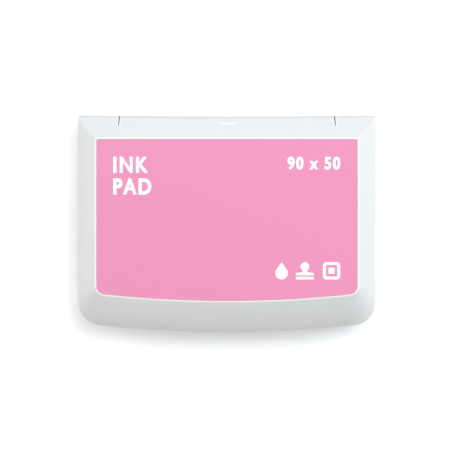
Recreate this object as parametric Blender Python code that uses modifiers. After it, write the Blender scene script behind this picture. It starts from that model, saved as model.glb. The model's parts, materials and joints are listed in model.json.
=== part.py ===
"""A stamp ink pad in a hinged plastic case, closed.

The frame has +X to the right, +Y to the rear, where the hinge is, and +Z up. The origin is at the middle of the
case's footprint, on the surface that it stands on. The lid turns about the line HINGE_Y, HINGE_Z, along X.
"""

import math
from collections import namedtuple

import bmesh
import bpy
from mathutils import Matrix, Vector

MM = 0.001

# The case.
CASE_WIDTH = 120.0 * MM
CASE_DEPTH = 87.4 * MM
CASE_HEIGHT = 18.5 * MM
WALL = 1.6 * MM
GAP = 0.3 * MM  # between pieces that touch in use
REAR_BOW = 0.5 * MM  # how far the middle of the rear edge dips forward
FRONT_ARC_RADIUS = 465.0 * MM  # the front edge is one long arc
CORNER_RADIUS = 9.5 * MM  # the two front corners

# The lid.
LID_BOTTOM = 7.2 * MM
SKIRT_TOP = 11.6 * MM  # the facets rise from here to the top
SIDE_FACET = 7.1 * MM
REAR_FACET = 9.2 * MM
FRONT_FACET = 12.2 * MM
SIDE_BULGE = 1.4  # 1 is a flat facet, and more is a facet that rounds over towards its edge
REAR_BULGE = 1.0
FRONT_BULGE = 1.9
TOP_CORNER_RADIUS = 4.0 * MM
RIM = 0.5 * MM  # the narrow lip around the label
RECESS_DEPTH = 0.6 * MM
LABEL_THICKNESS = 0.2 * MM
BAR_SIZE = (7.0 * MM, 1.2 * MM, 0.5 * MM)  # the raised bar on the rear facet
BAR_FROM_REAR = 3.2 * MM
SEAL_HALF_X = 49.5 * MM  # the rib inside the lid that closes around the pad
SEAL_HALF_Y = 28.6 * MM
SEAL_HEIGHT = 3.4 * MM
SEAL_WALL = 1.0 * MM

# The base.
BASE_WALL_TOP = LID_BOTTOM - GAP
BASE_OVERHANG = 0.4 * MM  # how far the lid stands out over the base
BASE_DRAFT = 1.2 * MM  # how much narrower the base is at its foot, on each side
FOOT_CHAMFER = 0.8 * MM
LIP_TOP = 9.6 * MM
RAMP_FOOT = 3.0 * MM  # the base's rear is upright up to here, and then leans forward
RAMP_SLOPE = (CASE_HEIGHT - SKIRT_TOP) / REAR_FACET  # as steep as the lid's rear facet
SCOOP_WIDTH = 24.0 * MM
SCOOP_DEPTH = 0.9 * MM
CATCH_WIDTH = 12.0 * MM  # the front catch: a ridge on the base's lip over a bead in the lid
CATCH_HEIGHT = 0.5 * MM
CATCH_RISE = 0.12 * MM

# The hinge.
HINGE_Y = 39.5 * MM
HINGE_Z = 9.4 * MM
PIN_RADIUS = 1.1 * MM
PIN_PLAY = 0.15 * MM
LUG_RADIUS = 1.7 * MM
LUG_INNER_X = 43.9 * MM
LUG_THICKNESS = 1.8 * MM
EAR_THICKNESS = 1.8 * MM
SLIT_X = 43.4 * MM
SLIT_WIDTH = 0.45 * MM
SLIT_LENGTH = 4.2 * MM
SLIT_TILT = math.radians(7.0)

# The pad.
PAD_Y = -4.0 * MM  # the pad's middle
FELT_HALF_X = 45.5 * MM
FELT_HALF_Y = 25.5 * MM
FELT_BOTTOM = 3.4 * MM
FELT_TOP = 10.3 * MM
CLOTH_THICKNESS = 0.4 * MM
CLOTH_FOOT = 4.0 * MM
TRAY_WALL = 1.2 * MM
TRAY_TOP = 8.0 * MM
DECK_BOTTOM = 8.3 * MM
DECK_THICKNESS = 1.2 * MM
DECK_RIM_WIDTH = 1.4 * MM
DECK_RIM_TOP = 10.2 * MM
BASE_LABEL_HALF_X = 40.0 * MM
BASE_LABEL_HALF_Y = 22.0 * MM
BASE_RECESS_DEPTH = 0.6 * MM

# How finely round shapes are divided.
REAR_STEPS = 8
FRONT_STEPS = 14
CORNER_STEPS = 8
FACET_STEPS = 7
ROUND_SIDES = 32

REAR_Y = CASE_DEPTH / 2
FRONT_Y = -CASE_DEPTH / 2
RECESS_FLOOR = CASE_HEIGHT - RECESS_DEPTH
CEILING = RECESS_FLOOR - WALL
EAR_INNER_X = LUG_INNER_X + LUG_THICKNESS + GAP

Outline = namedtuple("Outline", "half_width rear front corner bow")
CASE_OUTLINE = Outline(CASE_WIDTH / 2, REAR_Y, FRONT_Y, CORNER_RADIUS, REAR_BOW)
SIDES = {"left": -1, "right": 1}


def clear_scene():
    for old in list(bpy.data.objects):
        bpy.data.objects.remove(old, do_unlink=True)


def new_collection(name):
    collection = bpy.data.collections.new(name)
    bpy.context.scene.collection.children.link(collection)
    return collection


def new_material(name, colour, roughness, metallic=0.0):
    material = bpy.data.materials.new(name)
    material.use_nodes = True
    shader = material.node_tree.nodes["Principled BSDF"]
    shader.inputs["Base Color"].default_value = (*colour, 1.0)
    shader.inputs["Roughness"].default_value = roughness
    shader.inputs["Metallic"].default_value = metallic
    return material


# Outlines: each is a ring of points at one height, clockwise as seen from above, from the rear left corner.


def inset(outline, side, rear, front, corner=None):
    """The outline drawn in by these amounts, with a corner radius of its own."""
    return Outline(
        outline.half_width - side,
        outline.rear - rear,
        outline.front + front,
        max(outline.corner - side, 0.5 * MM) if corner is None else corner,
        outline.bow,
    )


def case_ring(outline, z):
    """A bowed rear edge, straight sides, round front corners and an arc along the front."""
    half, radius = outline.half_width, outline.corner
    arc_centre = outline.front + FRONT_ARC_RADIUS
    corner_x = half - radius
    reach = FRONT_ARC_RADIUS - radius
    corner_y = arc_centre - math.sqrt(reach**2 - corner_x**2)
    lean = math.asin(corner_x / reach)

    points = []
    for step in range(REAR_STEPS + 1):
        x = half * (2 * step / REAR_STEPS - 1)
        points.append((x, outline.rear - outline.bow * (1 - (x / half) ** 2)))
    corner = []
    for step in range(CORNER_STEPS + 1):
        angle = -(math.pi / 2 - lean) * step / CORNER_STEPS
        corner.append((corner_x + radius * math.cos(angle), corner_y + radius * math.sin(angle)))
    points += corner
    for step in range(1, FRONT_STEPS):
        angle = lean * (1 - 2 * step / FRONT_STEPS)
        x = FRONT_ARC_RADIUS * math.sin(angle)
        points.append((x, arc_centre - FRONT_ARC_RADIUS * math.cos(angle)))
    points += [(-x, y) for x, y in reversed(corner)]
    return [Vector((x, y, z)) for x, y in points]


def rounded_rectangle(half_x, half_y, radius, z, centre_y=PAD_Y):
    points = []
    for quarter in range(4):
        turn = -math.pi / 2 * quarter
        across = half_x - radius if quarter in (0, 1) else radius - half_x
        along = half_y - radius if quarter in (0, 3) else radius - half_y
        for step in range(CORNER_STEPS + 1):
            angle = turn + math.pi / 2 * (1 - step / CORNER_STEPS)
            x = across + radius * math.cos(angle)
            y = along + radius * math.sin(angle)
            points.append(Vector((x, centre_y + y, z)))
    return points


# Making and joining meshes.


def object_from(bm, name, collection):
    mesh = bpy.data.meshes.new(name)
    bm.to_mesh(mesh)
    bm.free()
    piece = bpy.data.objects.new(name, mesh)
    collection.objects.link(piece)
    return piece


def loft(name, rings, collection, first_cap=False, last_cap=False):
    """The surface through rings of equal count, from the lowest up. It faces outwards."""
    bm = bmesh.new()
    loops = [[bm.verts.new(point) for point in ring] for ring in rings]
    count = len(loops[0])
    for lower, upper in zip(loops, loops[1:]):
        for index in range(count):
            after = (index + 1) % count
            bm.faces.new((upper[index], upper[after], lower[after], lower[index]))
    if first_cap:
        bm.faces.new(loops[0])
    if last_cap:
        bm.faces.new(reversed(loops[-1]))
    return object_from(bm, name, collection)


def flat_plate(name, ring, thickness, collection):
    """A plate that stands on this ring."""
    plate = loft(name, [ring], collection, first_cap=True)
    thicken(plate, thickness)
    return plate


def box(name, low, high, collection):
    bm = bmesh.new()
    low, high = Vector(low), Vector(high)
    place = Matrix.Translation((low + high) / 2) @ Matrix.Diagonal((*(high - low), 1.0))
    bmesh.ops.create_cube(bm, size=1.0, matrix=place)
    return object_from(bm, name, collection)


def rod_along_x(name, x_from, x_to, y, z, radius, collection):
    bm = bmesh.new()
    turn = Matrix.Rotation(math.pi / 2, 4, "Y")
    place = Matrix.Translation(((x_from + x_to) / 2, y, z)) @ turn
    bmesh.ops.create_cone(
        bm,
        cap_ends=True,
        segments=ROUND_SIDES,
        radius1=radius,
        radius2=radius,
        depth=abs(x_to - x_from),
        matrix=place,
    )
    return object_from(bm, name, collection)


def plate_across_x(name, outline, x_from, x_to, collection):
    """A flat plate of this (y, z) outline, from one x to the other."""
    bm = bmesh.new()
    face = bm.faces.new([bm.verts.new((x_from, y, z)) for y, z in outline])
    moved = bmesh.ops.extrude_face_region(bm, geom=[face])["geom"]
    corners = [item for item in moved if isinstance(item, bmesh.types.BMVert)]
    bmesh.ops.translate(bm, verts=corners, vec=(x_to - x_from, 0.0, 0.0))
    bmesh.ops.recalc_face_normals(bm, faces=bm.faces)
    return object_from(bm, name, collection)


def thicken(piece, thickness):
    """Gives a surface its wall, on the side that it doesn't face."""
    solidify = piece.modifiers.new("Wall", "SOLIDIFY")
    solidify.thickness = thickness
    solidify.offset = -1.0
    solidify.use_even_offset = True
    solidify.use_quality_normals = True


def combine(piece, tool, operation):
    """Adds or cuts a tool, which stays in the cutters' collection."""
    boolean = piece.modifiers.new(tool.name, "BOOLEAN")
    boolean.operation = operation
    boolean.solver = "EXACT"
    boolean.object = tool
    tool.hide_render = True
    tool.display_type = "WIRE"


def finish(piece, material, smooth_angle=30.0):
    piece.data.materials.append(material)
    piece.data.shade_smooth()
    piece.data.set_sharp_from_angle(angle=math.radians(smooth_angle))


# The lid.


def facet_ring(share, wall=0.0):
    """The lid's outline this far down its facets: 0 at the top's rim, 1 at the skirt.

    With a wall it is the inside's outline. Half the wall's thickness downwards and all of it sideways
    make about one thickness square to the slopes.
    """
    side = SIDE_FACET * (1 - share) ** SIDE_BULGE + wall
    rear = REAR_FACET * (1 - share) ** REAR_BULGE + wall
    front = FRONT_FACET * (1 - share) ** FRONT_BULGE + wall
    corner = TOP_CORNER_RADIUS + (CORNER_RADIUS - TOP_CORNER_RADIUS) * share
    shape = inset(CASE_OUTLINE, side, rear, front, corner - wall)
    shape = shape._replace(bow=REAR_BOW * share)
    return case_ring(shape, CASE_HEIGHT - (CASE_HEIGHT - SKIRT_TOP) * share - wall / 2)


def facet_rings(foot_z, top_share=0.0, wall=0.0):
    """Rings from a foot up the skirt and the facets, closer together where the facets round over."""
    skirt = facet_ring(1.0, wall)
    rings = [[Vector((point.x, point.y, foot_z)) for point in skirt]]
    for step in range(FACET_STEPS + 1):
        up = (step / FACET_STEPS) ** 1.5
        rings.append(facet_ring(1 - up * (1 - top_share), wall))
    return rings


def label_outline(clearance):
    """The recess in the lid's top, or with some clearance the label that lies in it."""
    top = inset(CASE_OUTLINE, SIDE_FACET, REAR_FACET, FRONT_FACET, TOP_CORNER_RADIUS)
    drawn_in = RIM + clearance
    shape = inset(top, drawn_in, drawn_in, drawn_in)
    return shape._replace(bow=0.0)


def hinge_ear(side_name, sign, cutters):
    """A plate under the lid's rear facet that reaches down around the hinge pin."""
    front_y = HINGE_Y - 2.4 * MM
    rear_y = REAR_Y - WALL / 2
    foot_z = LID_BOTTOM + 0.1 * MM
    half_wall = WALL / 2
    outline = [
        (front_y, foot_z + 1.2 * MM),
        (front_y + 1.2 * MM, foot_z),
        (rear_y - 1.2 * MM, foot_z),
        (rear_y, foot_z + 1.2 * MM),
        (rear_y, SKIRT_TOP - half_wall / 2),
        (front_y, SKIRT_TOP + (REAR_Y - front_y) * RAMP_SLOPE - half_wall),
    ]
    inner = sign * EAR_INNER_X
    outer = sign * (EAR_INNER_X + EAR_THICKNESS)
    return plate_across_x("ear_" + side_name, outline, inner, outer, cutters)


def slit_cutter(side_name, sign, cutters):
    """The narrow slit beside a hinge, which lets the lid's corner spring over the pin."""
    half = SLIT_WIDTH / 2
    low = (-half, -SLIT_LENGTH, LID_BOTTOM - MM)
    high = (half, MM, CASE_HEIGHT)
    tool = box("slit_" + side_name, low, high, cutters)
    tool.location = (sign * SLIT_X, REAR_Y, 0.0)
    tool.rotation_euler = (0.0, 0.0, sign * SLIT_TILT)
    return tool


def lug_notch(side_name, sign, cutters):
    """The way that the lid's rear wall leaves for the base's hinge lug."""
    near = LUG_INNER_X - GAP
    far = LUG_INNER_X + LUG_THICKNESS + GAP
    low = (min(sign * near, sign * far), HINGE_Y + LUG_RADIUS, LID_BOTTOM - MM)
    high = (max(sign * near, sign * far), REAR_Y + MM, HINGE_Z + LUG_RADIUS + GAP)
    return box("notch_" + side_name, low, high, cutters)


def raised_bar(cutters):
    """The small bar on the rear facet, lying along X on the slope."""
    length, width, height = BAR_SIZE
    slope = math.atan2(CASE_HEIGHT - SKIRT_TOP, REAR_FACET)
    low = (-length / 2, -width / 2, -WALL / 2)
    high = (length / 2, width / 2, height)
    bar = box("bar", low, high, cutters)
    bevel = bar.modifiers.new("Round", "BEVEL")
    bevel.width = 0.4 * MM
    bevel.segments = 3
    rise = BAR_FROM_REAR * math.tan(slope)
    bar.location = (0.0, REAR_Y - REAR_BOW - BAR_FROM_REAR, SKIRT_TOP + rise)
    bar.rotation_euler = (-slope, 0.0, 0.0)
    return bar


def hollow_lid(lid, cutters):
    top_share = (CASE_HEIGHT - WALL / 2 - CEILING) / (CASE_HEIGHT - SKIRT_TOP)
    cavity_rings = facet_rings(LID_BOTTOM - MM, top_share, WALL)
    cavity = loft("lid_cavity", cavity_rings, cutters, first_cap=True, last_cap=True)
    combine(lid, cavity, "DIFFERENCE")
    recess_rings = [
        case_ring(label_outline(0.0), RECESS_FLOOR),
        case_ring(label_outline(0.0), CASE_HEIGHT + MM),
    ]
    recess = loft("label_recess", recess_rings, cutters, first_cap=True, last_cap=True)
    combine(lid, recess, "DIFFERENCE")


def catch_strip(name, wall_y, low_z, cutters):
    """A low strip along the front, half sunk in the wall that it stands on."""
    low = (-CATCH_WIDTH / 2, wall_y - CATCH_RISE, low_z)
    high = (CATCH_WIDTH / 2, wall_y + CATCH_RISE, low_z + CATCH_HEIGHT)
    return box(name, low, high, cutters)


def make_lid(collection, cutters, plastic):
    lid = loft("lid_shell", facet_rings(LID_BOTTOM), collection, first_cap=True, last_cap=True)
    hollow_lid(lid, cutters)
    seal_rings = [
        rounded_rectangle(SEAL_HALF_X, SEAL_HALF_Y, 3.0 * MM, CEILING - SEAL_HEIGHT),
        rounded_rectangle(SEAL_HALF_X, SEAL_HALF_Y, 3.0 * MM, CEILING + WALL / 4),
    ]
    seal = loft("seal_rib", seal_rings, cutters)
    thicken(seal, SEAL_WALL)
    combine(lid, seal, "UNION")
    bead = catch_strip("catch_bead", FRONT_Y + WALL, LID_BOTTOM + CATCH_RISE, cutters)
    combine(lid, bead, "UNION")
    for side_name, sign in SIDES.items():
        combine(lid, hinge_ear(side_name, sign, cutters), "UNION")
        bore_from = sign * (EAR_INNER_X - MM)
        bore_to = sign * (EAR_INNER_X + EAR_THICKNESS + MM)
        bore_radius = PIN_RADIUS + PIN_PLAY
        name = "bore_" + side_name
        bore = rod_along_x(name, bore_from, bore_to, HINGE_Y, HINGE_Z, bore_radius, cutters)
        combine(lid, bore, "DIFFERENCE")
        combine(lid, lug_notch(side_name, sign, cutters), "DIFFERENCE")
        combine(lid, slit_cutter(side_name, sign, cutters), "DIFFERENCE")
    combine(lid, raised_bar(cutters), "UNION")
    finish(lid, plastic)
    return lid


def make_lid_label(collection, printed_film):
    ring = case_ring(label_outline(GAP), RECESS_FLOOR + GAP)
    label = flat_plate("lid_label", ring, LABEL_THICKNESS, collection)
    finish(label, printed_film)
    return label


# The base.


def ramp_y(z):
    """The y of the base's leaning rear wall, which keeps clear of the lid's rear edge as the lid turns."""
    edge_y = REAR_Y - HINGE_Y
    edge_z = SKIRT_TOP - HINGE_Z
    clear = math.hypot(edge_y, edge_z) + GAP
    tilt = math.atan(RAMP_SLOPE)
    below = HINGE_Z - z
    return HINGE_Y + (below * math.cos(tilt) - clear) / math.sin(tilt)


def base_ring(z, drawn_in, rear):
    shape = inset(CASE_OUTLINE, drawn_in, 0.0, drawn_in)
    shape = shape._replace(rear=rear, bow=0.0)
    return case_ring(shape, z)


def hinge_lug(side_name, sign, cutters):
    """A round-ended arm on the base's rear wall, as high as the hinge."""
    outline = [(ramp_y(BASE_WALL_TOP) - WALL, HINGE_Z - LUG_RADIUS)]
    steps = ROUND_SIDES // 2
    for step in range(steps + 1):
        angle = math.pi * (step / steps - 0.5)
        outline.append((HINGE_Y + LUG_RADIUS * math.cos(angle), HINGE_Z + LUG_RADIUS * math.sin(angle)))
    outline.append((ramp_y(BASE_WALL_TOP) - WALL, HINGE_Z + LUG_RADIUS))
    inner = sign * LUG_INNER_X
    outer = sign * (LUG_INNER_X + LUG_THICKNESS)
    return plate_across_x("lug_" + side_name, outline, inner, outer, cutters)


def hinge_pin(side_name, sign, cutters):
    pin_from = sign * (LUG_INNER_X + LUG_THICKNESS / 2)
    pin_to = sign * (EAR_INNER_X + EAR_THICKNESS + 0.5 * MM)
    return rod_along_x("pin_" + side_name, pin_from, pin_to, HINGE_Y, HINGE_Z, PIN_RADIUS, cutters)


def finger_scoop(cutters):
    """A shallow hollow in the base's front wall, for the fingertip that lifts the lid."""
    radius = (SCOOP_WIDTH / 2) ** 2 / (2 * SCOOP_DEPTH)
    wall_y = FRONT_Y + BASE_OVERHANG
    bm = bmesh.new()
    place = Matrix.Translation((0.0, wall_y + SCOOP_DEPTH - radius, BASE_WALL_TOP / 2 + 1.5 * MM))
    bmesh.ops.create_cone(
        bm,
        cap_ends=True,
        segments=ROUND_SIDES * 12,
        radius1=radius,
        radius2=radius,
        depth=BASE_WALL_TOP - 1.6 * MM,
        matrix=place,
    )
    return object_from(bm, "scoop", cutters)


def make_base(collection, cutters, plastic):
    foot = BASE_OVERHANG + BASE_DRAFT
    lip = WALL + GAP
    lip_rear = ramp_y(BASE_WALL_TOP) - BASE_OVERHANG
    rings = [
        base_ring(0.0, foot + FOOT_CHAMFER, ramp_y(RAMP_FOOT) - FOOT_CHAMFER),
        base_ring(FOOT_CHAMFER, foot, ramp_y(RAMP_FOOT)),
        base_ring(RAMP_FOOT, foot - BASE_DRAFT * RAMP_FOOT / BASE_WALL_TOP, ramp_y(RAMP_FOOT)),
        base_ring(BASE_WALL_TOP, BASE_OVERHANG, ramp_y(BASE_WALL_TOP)),
        base_ring(BASE_WALL_TOP, lip, lip_rear),
        base_ring(LIP_TOP, lip, lip_rear),
    ]
    base = loft("base_shell", rings, collection, first_cap=True)
    thicken(base, WALL)

    for side_name, sign in SIDES.items():
        combine(base, hinge_lug(side_name, sign, cutters), "UNION")
        combine(base, hinge_pin(side_name, sign, cutters), "UNION")
    ridge_z = LID_BOTTOM + 2 * CATCH_RISE + CATCH_HEIGHT + GAP / 2
    combine(base, catch_strip("catch_ridge", FRONT_Y + WALL + GAP, ridge_z, cutters), "UNION")
    combine(base, finger_scoop(cutters), "DIFFERENCE")
    recess_rings = [
        rounded_rectangle(BASE_LABEL_HALF_X, BASE_LABEL_HALF_Y, 2.0 * MM, -MM),
        rounded_rectangle(BASE_LABEL_HALF_X, BASE_LABEL_HALF_Y, 2.0 * MM, BASE_RECESS_DEPTH),
    ]
    recess = loft("base_recess", recess_rings, cutters, first_cap=True, last_cap=True)
    combine(base, recess, "DIFFERENCE")
    finish(base, plastic)
    return base


def make_base_label(collection, paper):
    half_x = BASE_LABEL_HALF_X - GAP
    half_y = BASE_LABEL_HALF_Y - GAP
    ring = rounded_rectangle(half_x, half_y, 1.7 * MM, BASE_RECESS_DEPTH - GAP - LABEL_THICKNESS)
    label = flat_plate("base_label", ring, LABEL_THICKNESS, collection)
    finish(label, paper)
    return label


# The pad inside.


def make_felt(collection, felt_material):
    rings = [
        rounded_rectangle(FELT_HALF_X, FELT_HALF_Y, 2.0 * MM, FELT_BOTTOM),
        rounded_rectangle(FELT_HALF_X, FELT_HALF_Y, 2.0 * MM, FELT_TOP),
    ]
    felt = loft("ink_felt", rings, collection, first_cap=True, last_cap=True)
    finish(felt, felt_material)
    return felt


def make_cloth(collection, cloth_material):
    """A cap over the felt: a flat top and four sides that run down into the tray."""
    half_x = FELT_HALF_X + GAP + CLOTH_THICKNESS
    half_y = FELT_HALF_Y + GAP + CLOTH_THICKNESS
    top = FELT_TOP + GAP + CLOTH_THICKNESS
    round_over = 0.6 * MM
    rings = [
        rounded_rectangle(half_x, half_y, 2.7 * MM, CLOTH_FOOT),
        rounded_rectangle(half_x, half_y, 2.7 * MM, top - round_over),
        rounded_rectangle(half_x - round_over, half_y - round_over, 2.1 * MM, top),
    ]
    cloth = loft("pad_cloth", rings, collection, last_cap=True)
    thicken(cloth, CLOTH_THICKNESS)
    finish(cloth, cloth_material)
    return cloth


def make_tray(collection, plastic):
    around_cloth = CLOTH_THICKNESS + 2 * GAP + TRAY_WALL
    half_x = FELT_HALF_X + around_cloth
    half_y = FELT_HALF_Y + around_cloth
    rings = [
        rounded_rectangle(half_x, half_y, 3.0 * MM, FELT_BOTTOM - GAP - TRAY_WALL),
        rounded_rectangle(half_x, half_y, 3.0 * MM, TRAY_TOP),
    ]
    tray = loft("pad_tray", rings, collection, first_cap=True)
    thicken(tray, TRAY_WALL)
    finish(tray, plastic)
    return tray


def make_deck(collection, cutters, plastic):
    """The flat surround that fills the base's mouth, with a raised rim around the pad."""
    inside_lip = 2 * WALL + 2 * GAP
    rear = ramp_y(BASE_WALL_TOP) - BASE_OVERHANG - WALL - GAP
    ring = base_ring(DECK_BOTTOM, inside_lip, rear)
    deck = flat_plate("pad_frame", ring, DECK_THICKNESS, collection)

    hole_x = FELT_HALF_X + CLOTH_THICKNESS + 2 * GAP
    hole_y = FELT_HALF_Y + CLOTH_THICKNESS + 2 * GAP
    rim_x = hole_x + DECK_RIM_WIDTH
    rim_y = hole_y + DECK_RIM_WIDTH
    middle = DECK_BOTTOM + DECK_THICKNESS / 2
    rim_rings = [
        rounded_rectangle(rim_x, rim_y, 4.0 * MM, middle),
        rounded_rectangle(rim_x, rim_y, 4.0 * MM, DECK_RIM_TOP),
    ]
    rim = loft("deck_rim", rim_rings, cutters, first_cap=True, last_cap=True)
    combine(deck, rim, "UNION")
    hole_rings = [
        rounded_rectangle(hole_x, hole_y, 3.0 * MM, DECK_BOTTOM - MM),
        rounded_rectangle(hole_x, hole_y, 3.0 * MM, DECK_RIM_TOP + MM),
    ]
    hole = loft("deck_hole", hole_rings, cutters, first_cap=True, last_cap=True)
    combine(deck, hole, "DIFFERENCE")
    finish(deck, plastic)
    return deck


def hang_on_hinge(pieces, collection):
    """The lid's pieces, and the tools that shape them, turn with an empty on the hinge's axis."""
    hinge = bpy.data.objects.new("lid_hinge_axis", None)
    hinge.location = (0.0, HINGE_Y, HINGE_Z)
    collection.objects.link(hinge)
    bpy.context.view_layer.update()
    modifiers = [modifier for piece in pieces for modifier in piece.modifiers]
    tools = [modifier.object for modifier in modifiers if modifier.type == "BOOLEAN"]
    for item in pieces + tools:
        item.parent = hinge
        item.matrix_parent_inverse = hinge.matrix_world.inverted()


def main():
    clear_scene()
    collection = new_collection("ink_pad")
    cutters = new_collection("cutters")
    white_plastic = new_material("white_plastic", (0.86, 0.87, 0.88), 0.42)
    inner_plastic = new_material("inner_plastic", (0.80, 0.81, 0.82), 0.5)
    printed_film = new_material("printed_film", (0.89, 0.34, 0.55), 0.35)
    felt_material = new_material("felt", (0.70, 0.20, 0.38), 0.95)
    cloth_material = new_material("woven_cloth", (0.80, 0.25, 0.46), 0.85)
    paper = new_material("label_paper", (0.88, 0.88, 0.86), 0.6)

    make_base(collection, cutters, white_plastic)
    make_base_label(collection, paper)
    make_tray(collection, inner_plastic)
    make_felt(collection, felt_material)
    make_cloth(collection, cloth_material)
    make_deck(collection, cutters, inner_plastic)
    lid = make_lid(collection, cutters, white_plastic)
    label = make_lid_label(collection, printed_film)
    hang_on_hinge([lid, label], collection)


main()
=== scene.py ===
"""A stamp ink pad in a hinged case of white ABS, with a pink label let into its lid.

The frame gives each body its place: +X to the right, +Y to the hinge, +Z up, in metres. Each operator below
makes one piece or one group of like pieces, and main() calls them in order.
"""

import json
import math
from collections import namedtuple
from functools import partial

import bmesh
import bpy
from bpy.props import FloatProperty, FloatVectorProperty, PointerProperty, StringProperty
from mathutils import Matrix, Vector


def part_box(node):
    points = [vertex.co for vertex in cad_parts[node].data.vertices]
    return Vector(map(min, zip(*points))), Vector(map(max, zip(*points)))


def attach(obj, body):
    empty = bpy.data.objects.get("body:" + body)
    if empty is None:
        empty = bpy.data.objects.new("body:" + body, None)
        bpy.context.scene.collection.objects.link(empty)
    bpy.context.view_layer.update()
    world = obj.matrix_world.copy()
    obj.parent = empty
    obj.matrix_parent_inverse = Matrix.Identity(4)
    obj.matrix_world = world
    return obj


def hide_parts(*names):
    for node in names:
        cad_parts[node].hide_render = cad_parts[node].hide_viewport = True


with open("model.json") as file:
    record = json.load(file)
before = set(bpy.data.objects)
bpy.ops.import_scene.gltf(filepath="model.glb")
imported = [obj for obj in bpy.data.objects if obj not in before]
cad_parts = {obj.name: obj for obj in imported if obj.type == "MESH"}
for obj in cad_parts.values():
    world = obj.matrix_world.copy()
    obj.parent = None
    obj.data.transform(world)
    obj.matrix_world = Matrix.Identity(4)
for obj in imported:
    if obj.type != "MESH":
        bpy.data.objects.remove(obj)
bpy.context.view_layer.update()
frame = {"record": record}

bl_info = {
    "name": "Stamp ink pad",
    "version": (1, 0, 0),
    "blender": (4, 5, 0),
    "location": "View3D > Sidebar > Ink pad",
    "description": "Makes a hinged stamp ink pad with its labels, its cloth-covered pad and a studio",
    "category": "Object",
}

MM = 0.001
GAP = 0.3 * MM  # what the CAD leaves between two pieces that touch
SIDES = (-1, 1)  # left and right, as signs of x

LID_LOW, LID_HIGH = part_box("lid_shell")
BASE_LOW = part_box("base_shell")[0]
LABEL_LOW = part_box("lid_label")[0]
PAPER_LOW, PAPER_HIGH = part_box("base_label")
TRAY_LOW, TRAY_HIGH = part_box("pad_tray")
FELT_LOW, FELT_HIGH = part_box("ink_felt")
CLOTH_LOW, CLOTH_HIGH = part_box("pad_cloth")
DECK_LOW, DECK_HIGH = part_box("pad_frame")
HINGE = Vector(frame["record"]["behaviour"]["joints"][0]["pos_m"])
PAD_Y = (FELT_LOW.y + FELT_HIGH.y) / 2

# The base: its wall's height, where its rear wall starts to lean, and how far in its lip stands.
BASE_TOP = LID_LOW.z - GAP
RAMP_FOOT = 3.0 * MM
LIP_IN = 1.9 * MM

# The hinge: distances from the middle along X, and radii.
LUG_X = (44.4 * MM, 45.7 * MM)
NOTCH_X = (44.15 * MM, 46.0 * MM)
EAR_X = (46.0 * MM, 47.8 * MM)
PIN_X = (44.8 * MM, 48.3 * MM)
BORE_X = (45.0 * MM, 48.8 * MM)
LUG_RADIUS, PIN_RADIUS, BORE_RADIUS = 1.7 * MM, 1.1 * MM, 1.25 * MM

# How finely round shapes are divided.
REAR_STEPS = 24
REAR_CORNER_STEPS = 5
FRONT_STEPS = 48
CORNER_STEPS = 16
FACET_STEPS = 22
ROUND_SIDES = 64


def to_linear(hex_colour):
    """An sRGB colour such as "#F2F2F2" as linear red, green and blue."""
    parts = [int(hex_colour[place : place + 2], 16) / 255 for place in (1, 3, 5)]
    return [part / 12.92 if part <= 0.04045 else ((part + 0.055) / 1.055) ** 2.4 for part in parts]


# The sizes and colours that a user would change.


def size(name, description, millimetres):
    metres = millimetres * MM
    return FloatProperty(
        name=name, description=description, default=metres, min=0.0, precision=5, subtype="DISTANCE"
    )


def colour(name, description, hex_colour):
    linear = to_linear(hex_colour)
    return FloatVectorProperty(
        name=name, description=description, default=linear, min=0.0, max=1.0, size=3, subtype="COLOR"
    )


def number(name, description, value, unit="NONE"):
    return FloatProperty(name=name, description=description, default=value, min=0.0, unit=unit)


class InkPadCase(bpy.types.PropertyGroup):
    """The two mouldings of the case."""

    wall: size("Wall", "Thickness of the mouldings", 1.6)
    rear_bow: size("Rear bow", "How far the middle of the rear edge dips forward", 0.5)
    front_arc: size("Front arc", "Radius of the long arc along the front edge", 465.0)
    corner: size("Front corner", "Radius of the two front corners", 9.5)
    rear_corner: size("Rear corner", "Radius of the two rear corners", 0.9)
    skirt_top: size("Skirt top", "Height at which the lid's facets begin", 11.6)
    side_facet: size("Side facet", "Width of the left and right facets", 7.1)
    rear_facet: size("Rear facet", "Width of the rear facet", 9.2)
    front_facet: size("Front facet", "Width of the front facet", 12.2)
    side_bulge: number("Side bulge", "1 is a flat side facet, and more rounds over to its edge", 1.4)
    front_bulge: number("Front bulge", "1 is a flat front facet, and more rounds over to its edge", 1.9)
    top_corner: size("Top corner", "Radius of the facets' front corners at the lid's top", 4.0)
    corner_swell: size("Corner swell", "Extra radius of the front corners halfway down the facets", 3.5)
    ledge: size("Rear ledge", "Width of the level ledge between the rear facet and the rear edge", 0.55)
    rim: size("Rim", "Width of the lip around the label", 0.5)
    recess: size("Recess", "Depth of the label's recess", 0.25)
    bar_length: size("Bar length", "Length of the raised bar on the rear facet", 7.2)
    bar_width: size("Bar width", "Width of the raised bar", 1.5)
    slit_x: size("Slit place", "Distance of each slit from the middle", 43.3)
    slit_width: size("Slit width", "Width of the slits in the rear facet", 0.42)
    slit_length: size("Slit length", "How far the slits run forward", 4.2)
    overhang: size("Overhang", "How far the lid stands out over the base", 0.4)
    draft: size("Draft", "How much narrower the base is at its foot, on each side", 1.2)
    grain: size("Grain", "Size of the mould's grain, drawn coarse enough to show", 0.8)
    white: colour("Case plastic", "Colour of the white ABS", "#C3C3C2")
    # The bar's colour: lighter than the case plastic, as a painted highlight for the shine that it catches.
    rubbed_and_highlit_white: colour("Rubbed plastic", "Colour of the white ABS where thumbs have rubbed it", "#C7C8C8")
    inner_white: colour("Inner plastic", "Colour of the deck and the tray", "#C0C0BF")


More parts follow.
